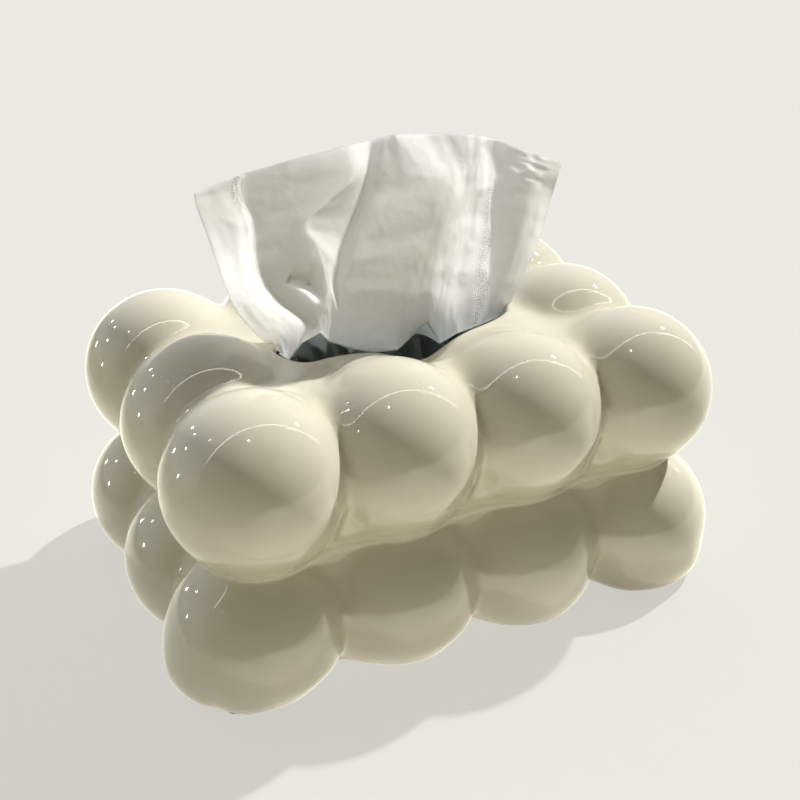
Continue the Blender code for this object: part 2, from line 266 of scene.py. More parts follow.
def film_material():
    """Thin soft film with fine stretch lines and soft creases; its dark slate is partly painted shade."""
    n = Nodes("pack_film")
    cloud = n.noise(22.0, 4.0, 0.6)
    # Dark slate: partly the film's own colour, partly painted shade for the dark seen down in the mouth
    colour = n.mix(n.span(cloud, 0.3, 0.7), (0.115, 0.152, 0.172), (0.150, 0.192, 0.212))
    n.set(Base_Color=colour)
    n.set(Roughness=n.span(n.noise(90.0, 3.0), 0.3, 0.7, 0.2, 0.34))
    creases = n.cells(55.0, feature="DISTANCE_TO_EDGE")
    normal = n.bump(n.span(creases, 0.0, 0.12), 0.0003, 0.6)
    n.set(Normal=n.bump(n.noise(140.0, 3.0, 0.6, distortion=1.5), 0.00035, 0.7, under=normal))
    return n.material


def leaf_material():
    """Folded leaves seen on edge: fine fibres and a slight shade between the leaves."""
    n = Nodes("stacked_leaves")
    fibre = n.noise(900.0, 4.0, 0.7)
    n.set(Base_Color=n.mix(fibre, (0.86, 0.86, 0.83), (0.94, 0.94, 0.92)))
    n.set(Roughness=0.93)
    axes = n.add("SeparateXYZ")
    n.put(axes.inputs[0], n.where())
    wander = n.math("MULTIPLY", n.noise(30.0, 2.0), 0.0016)
    level = n.math("ADD", axes.outputs["Z"], wander)
    line = n.math("SINE", n.math("MULTIPLY", level, 2 * math.pi / 0.0005))
    normal = n.bump(line, 0.00008, 0.6)
    n.set(Normal=n.bump(fibre, 0.00008, 0.6, under=normal))
    return n.material


def paper_material():
    """Two-ply tissue: lets light through, with fibres, soft crumple and embossed ply-bond lines.
    Its colour holds painted shade and a painted highlight.
    """
    n = Nodes("tissue_paper")
    edge, doubled, emboss = (n.attribute(name) for name in ("edge", "doubled", "emboss"))
    fibre = n.noise(1100.0, 4.0, 0.7)
    cloud = n.noise(60.0, 4.0, 0.6)
    white = n.mix(n.span(cloud, 0.3, 0.7), (0.90, 0.90, 0.89), (0.94, 0.94, 0.93))
    # Darker where plies double up: partly real, partly painted shade set point by point along the fold
    # lines
    colour = n.mix(n.math("MULTIPLY", doubled, 0.5, clamp=True), white, (0.84, 0.84, 0.80))
    # Painted highlight: the top rows of the sheet are lighter
    colour = n.mix(edge, colour, (0.97, 0.97, 0.96))
    # Painted shade: where the value passes 1, down in the neck, the paper turns grey-blue
    colour = n.mix(n.span(doubled, 1.1, 1.5), colour, (0.66, 0.70, 0.69))
    n.set(Base_Color=colour)
    n.set(Roughness=0.88)
    n.set(Specular_IOR_Level=0.25)
    crumple = n.noise(75.0, 3.0, 0.55, distortion=0.6)
    normal = n.bump(crumple, 0.0011, 0.55)
    ridges = n.cells(42.0, feature="DISTANCE_TO_EDGE")
    normal = n.bump(n.span(ridges, 0.0, 0.10), 0.0003, 0.35, under=normal)
    dots = n.cells(950.0, randomness=0.35)
    height = n.math("MULTIPLY", n.span(dots, 0.15, 0.55, 1.0, 0.0), emboss)
    normal = n.bump(height, 0.0006, 1.0, under=normal)
    normal = n.bump(fibre, 0.00006, 0.6, under=normal)
    n.set(Normal=normal)
    through = n.add("BsdfTranslucent")
    n.put(through.inputs["Color"], colour)
    n.put(through.inputs["Normal"], normal)
    held_back = n.math("MULTIPLY", doubled, 0.30)
    share = n.math("SUBTRACT", n.span(cloud, 0.3, 0.7, 0.92, 0.96), held_back, clamp=True)
    surface = n.blend(share, n.shader.outputs[0], through.outputs[0])
    n.put(n.output.inputs["Surface"], surface)
    return n.material


# ---- Meshes

def grid_quads(rows, columns, from_rows, from_columns):
    """Quads that start at the given rows and columns of a grid of points and go round at its ends."""
    quads = []
    for row in from_rows:
        here, below = row * columns, (row + 1) % rows * columns
        for column in from_columns:
            beside = (column + 1) % columns
            quads.append((here + column, here + beside, below + beside, below + column))
    return quads


def smooth_mesh(name, points, quads):
    """A mesh from points in millimetres."""
    mesh = bpy.data.meshes.new(name)
    mesh.from_pydata((points * MM).tolist(), [], quads)
    mesh.shade_smooth()
    return mesh


def mark(mesh, **marks):
    """Keeps numbers with the mesh's points, for its material."""
    for name, values in marks.items():
        attribute = mesh.attributes.new(name, "FLOAT", "POINT")
        attribute.data.foreach_set("value", values.astype(np.float32))


def show(mesh, material):
    mesh.materials.append(material)
    shown = bpy.data.objects.new(mesh.name, mesh)
    bpy.context.scene.collection.objects.link(shown)
    return shown


def thicken(piece, thickness):
    modifier = piece.modifiers.new("thickness", "SOLIDIFY")
    modifier.thickness, modifier.offset = thickness * MM, 0.0


# ---- Ceramic shell

def ring_share(z):
    return np.clip((z - LOWER_Z) / LAYER_PITCH, 0.0, 1.0)


def pitch_at(z):
    share = ring_share(z)
    return [low + (high - low) * share for low, high in zip(LOWER_PITCH, UPPER_PITCH)]


def ball_list():
    """Centre and radius of every bubble, each a little off, as hand-finished ware is."""
    random = np.random.default_rng(SEED)
    balls = []
    for z in (LOWER_Z, UPPER_Z):
        pitch_x, pitch_y = pitch_at(z)
        for column in range(COLUMNS):
            for row in range(ROWS):
                if column in (0, COLUMNS - 1) or row in (0, ROWS - 1):
                    at = np.array([(column - LAST_COLUMN) * pitch_x, (row - LAST_ROW) * pitch_y, z])
                    at += np.clip(random.normal(0.0, CENTRE_SPREAD, 3), -CENTRE_LIMIT, CENTRE_LIMIT)
                    off = np.clip(random.normal(0.0, RADIUS_SPREAD), -RADIUS_LIMIT, RADIUS_LIMIT)
                    balls.append((at, RADIUS + off))
    return balls


BALLS = ball_list()


def core_distance(points):
    """Distance to the round-edged block inside the bubbles."""
    pitch_x, pitch_y = pitch_at(points[:, 2])
    half_x = CORE_HALF[0] + LAST_COLUMN * (pitch_x - UPPER_PITCH[0])
    half_y = CORE_HALF[1] + LAST_ROW * (pitch_y - UPPER_PITCH[1])
    past = np.stack(
        [
            np.abs(points[:, 0]) - half_x + CORE_EDGE,
            np.abs(points[:, 1]) - half_y + CORE_EDGE,
            points[:, 2] - PLATE_Z + CORE_EDGE,
        ],
        axis=1,
    )
    outside = np.linalg.norm(np.maximum(past, 0.0), axis=1)
    return outside + np.minimum(past.max(axis=1), 0.0) - CORE_EDGE


def belt_distance(points, half, low, rise, lean, radius):
    """Distance to a belt laid along a rounded rectangle; it leans inwards as it rises."""
    past_x = np.abs(points[:, 0]) - half[0] + BELT_CORNER
    past_y = np.abs(points[:, 1]) - half[1] + BELT_CORNER
    plan = np.hypot(np.maximum(past_x, 0.0), np.maximum(past_y, 0.0))
    plan += np.minimum(np.maximum(past_x, past_y), 0.0) - BELT_CORNER
    up = points[:, 2] - low
    share = np.clip((up * rise - plan * lean) / max(rise**2 + lean**2, 1.0), 0.0, 1.0)
    return np.hypot(plan + share * lean, up - share * rise) - radius


def body_distance(points, pooled=False):
    """Distance to the body or, if pooled, how far a soft crease fills it at each point."""
    fields = [core_distance(points)] + [belt_distance(points, *belt) for belt in BELTS]
    fields += [np.linalg.norm(points - at, axis=1) - radius for at, radius in BALLS]
    fields = np.array(fields)
    nearest = fields.min(axis=0)
    fill = np.log(np.exp((nearest - fields) / SOFTNESS).sum(axis=0))
    if pooled:
        return np.clip(fill / math.log(2.0), 0.0, 1.0)
    return nearest - SOFTNESS * fill


def body_normals(points, step=0.02):
    slopes = [
        body_distance(points + np.eye(3)[k] * step) - body_distance(points - np.eye(3)[k] * step)
        for k in range(3)
    ]
    normals = np.stack(slopes, axis=1)
    return normals / np.linalg.norm(normals, axis=1)[:, None]


def surface_points(starts, directions, depth):
    """Points on each ray from inside the body where it is depth below the surface."""
    near, far = np.zeros(len(starts)), np.full(len(starts), SEARCH_REACH)
    for _ in range(SEARCH_STEPS):
        middle = (near + far) / 2
        inside = body_distance(starts + directions * middle[:, None]) < -depth
        near = np.where(inside, middle, near)
        far = np.where(inside, far, middle)
    return starts + directions * near[:, None]


def stations(half_steps, corner_steps):
    """Once round the ring: (column, row, outward x, outward y) of each section."""
    sides = (
        ((-LAST_COLUMN, -LAST_ROW), (1, 0), COLUMNS - 1, UPPER_PITCH[0]),
        ((LAST_COLUMN, -LAST_ROW), (0, 1), ROWS - 1, UPPER_PITCH[1]),
        ((LAST_COLUMN, LAST_ROW), (-1, 0), COLUMNS - 1, UPPER_PITCH[0]),
        ((-LAST_COLUMN, LAST_ROW), (0, -1), ROWS - 1, UPPER_PITCH[1]),
    )
    found = []
    for (column, row), (ax, ay), gaps, pitch in sides:
        widest = math.asin(min(1.0, pitch / 2 / RADIUS))
        half = [math.sin(widest * k / half_steps) * RADIUS / pitch for k in range(half_steps)]
        shares = [*half, 0.5, *(1 - share for share in reversed(half[1:]))]
        out_x, out_y = ay, -ax
        for gap in range(gaps):
            found += [(column + ax * (gap + s), row + ay * (gap + s), out_x, out_y) for s in shares]
        for k in range(corner_steps):
            turn = math.pi / 2 * k / corner_steps
            cos, sin = math.cos(turn), math.sin(turn)
            outward = (out_x * cos + ax * sin, out_y * cos + ay * sin)
            found.append((column + ax * gaps, row + ay * gaps, *outward))
    return np.array(found)


def base_line(ring, z):
    """The line through the centres of the ring's bubbles, in plan."""
    pitch_x, pitch_y = UPPER_PITCH if z > CREASE_Z else LOWER_PITCH
    return np.stack([ring[:, 0] * pitch_x, ring[:, 1] * pitch_y], axis=1)


def level_row(ring, z, depth):
    """A row of the skin at one height."""
    out = ring[:, 2:]
    plan = base_line(ring, z) - out * CORE_EDGE
    starts = np.column_stack([plan, np.full(len(ring), z)])
    return surface_points(starts, np.column_stack([out, np.zeros(len(ring))]), depth)


def over_row(ring, angle, depth):
    """A row of the skin on the upper bubbles, at one angle above their centres."""
    rise = math.radians(angle)
    starts = np.column_stack([base_line(ring, UPPER_Z), np.full(len(ring), UPPER_Z)])
    directions = np.column_stack([ring[:, 2:] * math.cos(rise), np.full(len(ring), math.sin(rise))])
    return surface_points(starts, directions, depth)


def mouth_edge(ring):
    """The mouth's edge at each section, and the direction from there into the mouth."""
    wide = base_line(ring, UPPER_Z) + ring[:, 2:] * RADIUS
    half_x, half_y = LAST_COLUMN * UPPER_PITCH[0] + RADIUS, LAST_ROW * UPPER_PITCH[1] + RADIUS
    turn = np.arctan2(wide[:, 1] / half_y, wide[:, 0] / half_x)
    edge = np.stack([np.cos(turn) * MOUTH[0], np.sin(turn) * MOUTH[1]], axis=1) / 2
    edge[:, 0] *= np.where(edge[:, 0] > 0.0, MOUTH_RIGHT, 1.0)
    inward = -np.stack([np.cos(turn) / MOUTH[0], np.sin(turn) / MOUTH[1]], axis=1)
    return edge, inward / np.linalg.norm(inward, axis=1)[:, None]


def top_row(ring, share, depth):
    """A row of the skin between the upper bubbles' crowns and the mouth."""
    edge, inward = mouth_edge(ring)
    start = base_line(ring, UPPER_Z)
    plan = start + (edge - inward * WALL / 2 - start) * share
    starts = np.column_stack([plan, np.full(len(ring), UPPER_Z)])
    return surface_points(starts, np.tile([0.0, 0.0, 1.0], (len(ring), 1)), depth)


def lip_shift(points):
    """The top plate sinks between the middle bubbles at the mouth and swells beside them."""
    x, y, z = points.T
    near = 1.0 - soft_step((np.abs(y) - LIP_FADE_Y[0]) / LIP_FADE_Y[1])
    near *= 1.0 - soft_step((np.abs(x) - LIP_FADE_X[0]) / LIP_FADE_X[1])
    near *= soft_step((z - LIP_FADE_Z[0]) / LIP_FADE_Z[1])
    dip = np.exp(-((x / DIP_HALF) ** 2))
    corner = CORNER_DIP * np.exp(-(((x - CORNER_DIP_AT) / CORNER_DIP_HALF) ** 2))
    corner *= soft_step((CORNER_FADE[0] - y) / CORNER_FADE[1])
    return near * (LIP_RISE - (LIP_RISE + LIP_DIP) * dip - corner)


def foot_shift(points):
    """How far the foot of each front bubble is pressed in or flares out, as a move in plan."""
    move = np.zeros((len(points), 2))
    for column, row, top, table in FOOT_SHIFTS:
        low = 1.0 - soft_step((points[:, 2] - FOOT_LOW) / (top - FOOT_LOW))
        angles, sizes = np.array(table).T
        from_middle = points[:, :2] - np.array([column * LOWER_PITCH[0], row * LOWER_PITCH[1]])
        reach = np.linalg.norm(from_middle, axis=1)
        turn = np.degrees(np.arctan2(from_middle[:, 1], from_middle[:, 0]))
        turn = np.where(turn < angles[0], turn + 360.0, turn)
        size = np.interp(turn, angles, sizes, left=0.0, right=0.0) * low
        size *= 1.0 - soft_step((reach - RADIUS) / FOOT_FADE)
        move += from_middle / np.maximum(reach, 1.0)[:, None] * size[:, None]
    return move


def outer_rows(ring):
    """Rows outside, from the flat foot up to the mouth, each with what it belongs to."""
    foot, foot_in = level_row(ring, FOOT_Z, 0.0), level_row(ring, FOOT_Z, WALL)
    flat = foot.copy()
    flat[:, :2] -= ring[:, 2:] * FOOT_EDGE
    rows = [("foot", flat + (foot_in - flat) * share) for share in FOOT_SHARES]
    for kind, angle in (("foot", 0), ("foot", 30), ("rim", 60)):
        turn = math.radians(angle)
        row = foot.copy()
        row[:, :2] -= ring[:, 2:] * FOOT_EDGE * (1 - math.sin(turn))
        row[:, 2] += FOOT_EDGE * (1 - math.cos(turn))
        rows.append((kind, row))
    lower = LOWER_Z + RADIUS * np.sin(np.radians(np.arange(*LOWER_ANGLES)))
    upper = UPPER_Z + RADIUS * np.sin(np.radians(np.arange(*UPPER_ANGLES)))
    below, above = lower[lower < CREASE_Z - CREASE_GAP], upper[upper > CREASE_Z + CREASE_GAP]
    rows += [("outer", level_row(ring, z, 0.0)) for z in (*below, CREASE_Z, *above)]
    rows += [("outer", over_row(ring, angle, 0.0)) for angle in np.arange(0.0, 90.1, 3.0)]
    shares = np.linspace(0.0, 1.0, PLATE_STEPS + 1)[1:]
    rows += [("outer", top_row(ring, share, 0.0)) for share in shares]
    return rows


def lip_rows(ring, top):
    """Rows round the mouth's lip, from the plate's upper side to its lower one."""
    bottom = top_row(ring, 1.0, WALL)
    _, inward = mouth_edge(ring)
    rows = []
    for angle in np.radians(np.arange(*LIP_ANGLES)):
        reach = np.column_stack([inward, np.zeros(len(ring))]) * math.cos(angle) * WALL / 2
        rise = np.zeros((len(ring), 3))
        rise[:, 2] = (top - bottom)[:, 2] / 2 * math.sin(angle)
        rows.append(("lip", (top + bottom) / 2 + reach + rise))
    return rows


def inner_rows(ring):
    """Rows inside, from the mouth down to the foot: coarser, for little of them is seen."""
    thin = RADIUS - WALL
    upper = UPPER_Z - thin * np.sin(np.radians(np.arange(12.0, 60.0, 12.0)))
    lower = LOWER_Z + thin * np.sin(np.radians(np.arange(55.0, -42.0, -11.0)))
    rows = [top_row(ring, share, WALL) for share in np.linspace(1.0, 0.0, 9)[:-1]]
    rows += [over_row(ring, angle, WALL) for angle in np.arange(90.0, -0.1, -10.0)]
    rows += [level_row(ring, z, WALL) for z in (*upper, CREASE_Z, *lower)]
    return [("inner", row) for row in rows] + [("base", level_row(ring, FOOT_Z, WALL))]


def make_shell():
    """The shell as one closed skin; where nothing is moved, its normals are the body's own."""
    ring = stations(BUBBLE_STEPS, CORNER_STEPS)
    rows = outer_rows(ring)
    rows += lip_rows(ring, rows[-1][1])
    rows += inner_rows(ring)
    count, width = len(rows), len(ring)
    kinds = np.repeat([kind for kind, _ in rows], width)
    points = np.concatenate([row for _, row in rows])
    true = body_normals(points)
    pool = body_distance(points, pooled=True) * (kinds == "outer")
    shift = lip_shift(points)
    points[:, 2] += shift
    pressed = foot_shift(points) * (kinds != "inner")[:, None]
    pressed[:len(FOOT_SHARES) * width] *= np.repeat(FOOT_SHARES, width)[:, None]
    pressed[kinds == "base"] = 0.0
    points[:, :2] += pressed
    mesh = smooth_mesh("bubble_shell", points, grid_quads(count, width, range(count), range(width)))
    normals = np.array([vertex.vector for vertex in mesh.vertex_normals])
    unmoved = (np.abs(shift) < 0.01) & (np.linalg.norm(pressed, axis=1) < 0.01)
    outer, inner = (kinds == "outer") & unmoved, (kinds == "inner") & unmoved
    normals[outer], normals[inner] = true[outer], -true[inner]
    mesh.normals_split_custom_set_from_vertices(normals.tolist())
    # Painted shade inside the shell: full on the inner rows and base, fading in on the lip below the
    # plate's top
    inside = np.isin(kinds, ("inner", "base")).astype(float)
    lip = kinds == "lip"
    inside[lip] = np.clip((PLATE_Z - LIP_SHADE - points[lip, 2]) / LIP_SHADE, 0.0, 1.0)
    bare = np.isin(kinds, ("foot", "base")).astype(float)
    mark(mesh, crease=pool, bare=bare, inside=inside)
    return show(mesh, glaze_material())


# ---- Drawn tissue

# Fold lines of the tissue from its left edge to its right one. Each is (crispness, points), and
# each point is (across, height, depth, doubling) from the top edge down to the rolled hem, in
# millimetres but for doubling, 0 to 1: how far folded-over plies hold back the light there,
# and how much painted shade darkens the paper there.
FOLD_LINES = (
    (0.0, (
        (-73.5, 157.3, 6.0, 0.75), (-73.0, 153.0, 6.0, 0.8), (-70.8, 145.0, 6.0, 0.5),
        (-68.1, 135.0, 6.0, 0.3), (-65.5, 125.0, 8.5, 0.35), (-62.0, 115.0, 9.5, 0.3),
        (-55.3, 104.5, 8.0, 0.2), (-46.4, 95.4, 3.0, 0.0),
    )),
    (0.2, (
        (-64.0, 159.8, 3.0, 0.75), (-63.5, 154.0, 3.0, 0.8), (-60.5, 145.0, 3.0, 0.6),
        (-59.5, 135.0, 3.0, 0.2), (-58.0, 125.0, 5.5, 0.25), (-54.5, 115.0, 7.5, 0.25),
        (-48.0, 105.0, 6.0, 0.2), (-44.9, 93.9, 2.0, 0.0),
    )),
    (1.0, (
        (-57.8, 161.3, 1.0, 0.6), (-58.6, 155.0, 0.0, 0.6), (-55.2, 145.0, 0.0, 0.35),
        (-55.2, 135.0, 1.0, 0.1), (-53.6, 125.0, 1.5, 0.15), (-48.0, 115.0, 3.0, 0.15),
        (-39.5, 105.0, 2.0, 0.15), (-42.7, 92.2, 0.0, 0.0),
    )),
    (0.9, (
        (-55.8, 161.7, -1.0, 0.9), (-56.6, 155.0, -1.0, 1.0), (-53.2, 145.0, -1.0, 1.0),
        (-53.2, 135.0, -1.0, 1.0), (-51.6, 125.0, -1.0, 1.0), (-46.0, 115.0, -1.0, 1.0),
        (-36.5, 105.0, -1.5, 1.0), (-38.0, 97.9, -0.5, 0.6),
    )),
    (0.1, (
        (-40.0, 164.2, 1.0, 0.6), (-40.0, 155.0, 1.0, 1.0), (-41.0, 145.0, 1.5, 0.9),
        (-40.0, 135.0, 2.0, 0.85), (-38.0, 125.0, 2.0, 0.85), (-35.0, 115.0, 0.5, 0.8),
        (-31.5, 106.0, -1.0, 0.6), (-30.6, 100.5, -1.5, 0.5),
    )),
    (0.6, (
        (-20.0, 166.4, 1.0, 0.5), (-18.0, 155.0, 3.0, 0.9), (-27.0, 147.5, 4.5, 0.65),
        (-35.0, 141.5, 5.0, 0.6), (-31.0, 133.0, 3.2, 0.62), (-28.5, 122.0, 1.2, 0.6),
        (-27.0, 112.0, -0.5, 0.5), (-26.8, 96.2, -3.5, 0.5),
    )),
    (1.0, (
        (-10.0, 167.2, -2.0, 0.1), (-12.2, 155.0, -3.0, 0.15), (-15.6, 145.0, -3.5, 0.3),
        (-20.8, 135.0, -3.5, 0.45), (-23.2, 125.0, -3.0, 0.25), (-24.9, 116.0, -2.5, 0.25),
        (-22.5, 106.0, -2.0, 0.4), (-17.7, 91.2, -4.6, 0.5),
    )),
    (0.4, (
        (-4.0, 168.0, 0.5, 0.3), (-6.0, 155.0, 0.5, 0.9), (-10.0, 145.0, 0.5, 0.8),
        (-14.5, 135.0, 0.5, 0.7), (-17.0, 125.0, 0.5, 0.7), (-19.0, 115.0, 0.0, 0.7),
        (-16.0, 105.0, -1.0, 0.5), (-9.9, 88.2, -4.8, 0.45),
    )),
    (0.9, (
        (-1.0, 168.2, 1.0, 0.1), (7.5, 156.0, 2.0, 0.4), (13.0, 147.0, 3.0, 0.8),
        (12.4, 137.5, 3.0, 0.9), (8.5, 126.0, 2.5, 0.9), (5.0, 115.0, 2.0, 0.9),
        (3.4, 104.0, 1.0, 0.6), (0.5, 87.2, -4.2, 0.5),
    )),
    (0.2, (
        (14.0, 166.8, -0.5, 0.4), (20.0, 155.0, 0.0, 0.4), (22.0, 145.0, 2.6, 0.8),
        (20.0, 135.0, 2.8, 0.85), (17.0, 125.0, 2.4, 0.85), (14.0, 115.0, 1.8, 0.75),
        (13.0, 105.0, 0.0, 0.5), (12.8, 96.0, -3.8, 0.45),
    )),
    (0.5, (
        (26.0, 165.0, -0.5, 0.2), (27.0, 155.0, -1.0, 0.2), (27.0, 145.0, -1.0, 0.45),
        (25.0, 135.0, -0.5, 0.5), (22.5, 125.0, -0.5, 0.45), (20.0, 115.0, -1.0, 0.3),
        (18.5, 104.0, -1.5, 0.2), (18.5, 86.1, -5.0, 0.4),
    )),
    (0.2, (
        (33.0, 163.4, -2.0, 0.35), (33.5, 155.0, -2.5, 0.3), (33.0, 145.0, -2.0, 0.3),
        (31.0, 135.0, -2.5, 0.25), (29.0, 125.0, -2.5, 0.2), (27.0, 115.0, -2.5, 0.05),
        (25.0, 104.0, -3.0, 0.0), (25.9, 88.6, -4.0, 0.3),
    )),
    (0.8, (
        (39.5, 161.3, -3.0, 0.2), (39.5, 153.0, -4.0, 0.25), (39.5, 144.0, -4.0, 0.25),
        (39.5, 135.0, -4.0, 0.2), (40.2, 125.0, -4.0, 0.05), (38.7, 115.0, -3.2, 0.0),
        (40.0, 104.0, -3.0, 0.0), (36.0, 90.1, -3.5, 0.2),
    )),
    (0.3, (
        (55.0, 154.7, 0.0, 0.8), (54.5, 148.0, 1.0, 1.0), (55.0, 141.0, 2.0, 0.9),
        (53.5, 132.5, 2.5, 0.9), (51.3, 124.0, 2.5, 0.8), (48.8, 114.0, 0.8, 0.7),
        (46.3, 103.5, -0.8, 0.6), (41.6, 91.3, -2.0, 0.5),
    )),
    (0.0, (
        (68.5, 149.5, 0.0, 0.9), (67.0, 143.5, 1.2, 0.9), (65.1, 136.9, 0.0, 0.6),
        (63.0, 129.0, 0.0, 0.5), (61.0, 121.3, 0.0, 0.3), (57.5, 112.5, 0.0, 0.4),
        (53.6, 104.1, 0.0, 0.4), (47.6, 92.6, 0.0, 0.5),
    )),
)
CAMERA_MM = (-181.9, -350.0, 276.1)
TISSUE_STEPS = 12  # mesh steps between fold lines, and between the points of one
FOLD_DEPTH = 1.2  # share of the depths above that is used
TWIST, TWIST_RISE = 0.06, 45.0  # turn of the sheet in plan, and over what height it comes in
HEM_CRISP, HEM_LIGHT = 0.9, 0.25
TISSUE_THICK = 0.3

# A crossing fold: its two ends, half its width, its depth and bow, and how fast its slope ends
TUCK = ((-42.8, 121.3), (-30.6, 111.8), 1.8)
TUCK_DEPTH, TUCK_BOW, TUCK_END = 5.4, 1.6, 4.0
# The crumpled corner at the right: its place, half its size, and its depth
CRINKLE = (54.0, 150.0, 8.0, 6.5)
CRINKLE_DEPTH = 1.9
# Embossed ply-bond lines, as (fold line, half width): the left one fades in above a level, the
# right one runs from there down to its end
EMBOSS_LEFT, EMBOSS_RIGHT = (1.75, 0.25), (11.75, 0.16)
EMBOSS_LEVEL, EMBOSS_END, EMBOSS_FADE = 146.0, 92.0, 5.0

# Below the hem: its rolled edge, how the sheet gathers to the neck, and the neck down to the stack
HEM_ROLL, HEM_ANGLES = 1.1, (35.0, 75.0, 110.0)
GATHER, GATHER_BOW, GATHER_PLEAT = 0.6, 0.4, 0.3
GATHER_ROWS, NECK_ROWS, LYING_ROWS = 7, 19, 5
NECK_HALF = (33.0, 37.0)
NECK_PLEAT, NECK_BACK, NECK_Z = 7.0, 15.0, 85.5
# Doubling down in the neck, rising over its first rows: partly the gathered plies, partly painted shade
NECK_LAYERS_AND_SHADE, NECK_LAYERS_AND_SHADE_START, NECK_START_ROWS = 1.7, 1.3, 6
NECK_END_BACK, NECK_END_LIFT = -3.0, 0.9
STACK_TOP_Z = 40.7
# Where the sheet lies on the stack: row to row, its lift, and its pleats, lower with each row
LYING_STEP, LYING_LIFT, LYING_PLEAT, LYING_FLATTEN = 1.1, 0.55, 0.35, 0.05


def hermite(points, crisp, steps):
    """Curve through points on axis 0; a crisp point keeps its corner, a soft one is rounded."""
    chords = np.diff(points, axis=0)
    first, last = chords[:1], chords[-1:]
    before, after = np.concatenate([first, chords]), np.concatenate([chords, last])
    smooth = (before + after) / 2
    share = crisp[..., None]
    arrive, leave = smooth + (before - smooth) * share, smooth + (after - smooth) * share
    out = []
    for k in range(len(points) - 1):
        for step in range(steps):
            t = step / steps
            out.append(
                points[k] * (2 * t**3 - 3 * t**2 + 1)
                + leave[k] * (t**3 - 2 * t**2 + t)
                + points[k + 1] * (3 * t**2 - 2 * t**3)
                + arrive[k + 1] * (t**3 - t**2)
            )
    out.append(points[-1])
    return np.array(out)


def soft_noise(u, v, seed):
    """Smooth noise in -1..1 over the plane (u, v)."""
    flat = [noise.noise(Vector((a, b, seed))) for a, b in zip(np.ravel(u), np.ravel(v))]
    return np.array(flat).reshape(np.shape(u))


def wrinkled(grid, u, v):
    """Adds long soft wrinkles, a crossing swell and fine crumple, and an uneven top edge."""
    free = 0.35 + 0.65 * np.clip((1.0 - v) * 4.0, 0.0, 1.0)
    long = soft_noise(u * 34.0, v * 4.0, 3.1) * 0.35 + soft_noise(u * 16.0, v * 2.2, 8.4) * 0.5
    cross = soft_noise(u * 9.0 + v * 6.0, v * 9.0 - u * 5.0, 5.7) * 0.5
    grid[:, :, 2] += (long + cross) * free + soft_noise(u * 60.0, v * 22.0, 11.2) * 0.16
    edge = np.clip(1.0 - v * len(grid) / 5.0, 0.0, 1.0)
    grid[:, :, 1] += soft_noise(u * 40.0, v * 3.0, 2.5) * 0.35 * edge


def tucked(grid):
    """Adds the crossing fold; says how far each point lies in its bend."""
    x, z = grid[:, :, 0], grid[:, :, 1]
    (x0, z0), (x1, z1), wide = TUCK
    run = ((x - x0) * (x1 - x0) + (z - z0) * (z1 - z0)) / ((x1 - x0) ** 2 + (z1 - z0) ** 2)
    bow = TUCK_BOW * np.sin(np.clip(run, 0.0, 1.0) * math.pi)
    off = ((x - x0) * (z1 - z0) - (z - z0) * (x1 - x0)) / math.hypot(x1 - x0, z1 - z0) + bow
    along = np.clip(1.0 - np.abs(run - 0.5) * 2.0, 0.0, 1.0) ** 0.5
    step = soft_step((wide - off) / (2 * wide)) * np.exp(-np.maximum(-off - wide, 0.0) / TUCK_END)
    grid[:, :, 2] -= TUCK_DEPTH * step * along
    return np.exp(-((off / wide) ** 2)) * along


def crinkled(grid, u, v):
    """Adds the crumpled corner; says how far each point lies in it."""
    at_x, at_z, half_x, half_z = CRINKLE
    from_x, from_z = (grid[:, :, 0] - at_x) / half_x, (grid[:, :, 1] - at_z) / half_z
    share = np.exp(-(from_x**2) - from_z**2)
    grid[:, :, 2] += soft_noise(u * 44.0, v * 26.0, 21.3) * CRINKLE_DEPTH * share
    return share


def sheet_grid():
    """The drawn tissue's points, row by row from its top edge to its end on the stack, and how
    far its plies hold back the light at each, which also sets the paper's painted shade."""
    lines = np.array([points for _, points in FOLD_LINES])
    crisp = np.array([share for share, _ in FOLD_LINES])[:, None].repeat(lines.shape[1], 1)
    crisp[:, -1] = np.maximum(crisp[:, -1], HEM_CRISP)
    grid = np.swapaxes(hermite(lines, crisp, TISSUE_STEPS), 0, 1)
    grid = hermite(grid, np.zeros(grid.shape[:2]), TISSUE_STEPS)
    v, u = np.meshgrid(*(np.linspace(0.0, 1.0, size) for size in grid.shape[:2]), indexing="ij")
    wrinkled(grid, u, v)
    tuck = tucked(grid)
    crinkle = crinkled(grid, u, v)
    # Moved in depth along the camera's rays, so its outline in the picture stays as drawn
    x, z = grid[:, :, 0], grid[:, :, 1]
    y = grid[:, :, 2] * FOLD_DEPTH - x * TWIST * soft_step((z - PLATE_Z) / TWIST_RISE)
    along_x, along_z = (x - CAMERA_MM[0]) / -CAMERA_MM[1], (z - CAMERA_MM[2]) / -CAMERA_MM[1]
    shown = np.stack([x + y * along_x, y, z + y * along_z], axis=2)
    hidden = hidden_rows(shown[-1])
    # Lighter at the crossing fold and the crumpled corner: less painted shade there
    doubled = np.clip(grid[:, :, 3] - 1.2 * tuck - 0.5 * crinkle, 0.0, 1.0)
    # Less painted shade along the hem, so it shows lighter
    doubled[-1] *= HEM_LIGHT
    # Down in the neck the value is above 1, which paints the paper grey-blue as shade
    neck_shade_and_layers = np.full(hidden.shape[:2], NECK_LAYERS_AND_SHADE)
    starting = np.linspace(NECK_LAYERS_AND_SHADE_START, NECK_LAYERS_AND_SHADE, NECK_START_ROWS)
    neck_shade_and_layers[:NECK_START_ROWS] = starting[:, None]
    return np.concatenate([shown, hidden]), np.concatenate([doubled, neck_shade_and_layers])


